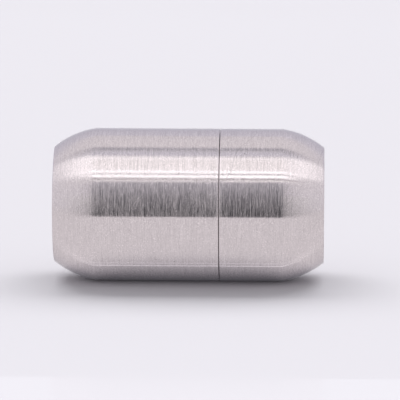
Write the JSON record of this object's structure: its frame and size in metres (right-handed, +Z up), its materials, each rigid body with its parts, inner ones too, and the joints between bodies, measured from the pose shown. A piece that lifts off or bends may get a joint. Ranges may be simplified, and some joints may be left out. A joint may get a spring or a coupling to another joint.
{
  "type": "magnetic cord clasp",
  "caption": "Barrel-shaped magnetic clasp of brushed stainless steel: a socket half and a plug half on one axis, each bored at its outer end for a glued-in round cord.",
  "frame": {"origin": "middle of the barrel on its axis, halfway between the faces of the two magnet cups", "axes": "+X along the barrel's axis towards the plug half, +Z up as the clasp lies on its side"},
  "size_m": [0.0212, 0.012, 0.012],
  "materials": {
    "brushed_shell": "stainless steel, brushed around the axis",
    "cup_steel": "drawn steel, satin",
    "magnet_plating": "bright nickel plating",
    "cured_adhesive": "amber, cured and glossy"
  },
  "bodies": {
    "socket_half": {"socket_shell": "brushed_shell", "socket_cup": "cup_steel", "socket_magnet": "magnet_plating", "socket_adhesive": "cured_adhesive"},
    "swivel_magnet": {"plug_magnet": "magnet_plating"},
    "plug_half": {"plug_shell": "brushed_shell", "plug_nose": "cup_steel", "plug_adhesive": "cured_adhesive"}
  },
  "joints": [
    {"name": "plug_pull", "type": "slide", "parent": "socket_half", "child": "swivel_magnet", "axis": [1, 0, 0], "range_m": [0, 0.012], "stiffness_N_per_m": 50, "springref_m": -0.04},
    {"name": "plug_swivel", "type": "hinge", "parent": "swivel_magnet", "child": "plug_half", "pos_m": [0.0014, 0, 0], "axis": [1, 0, 0], "continuous": true}
  ]
}
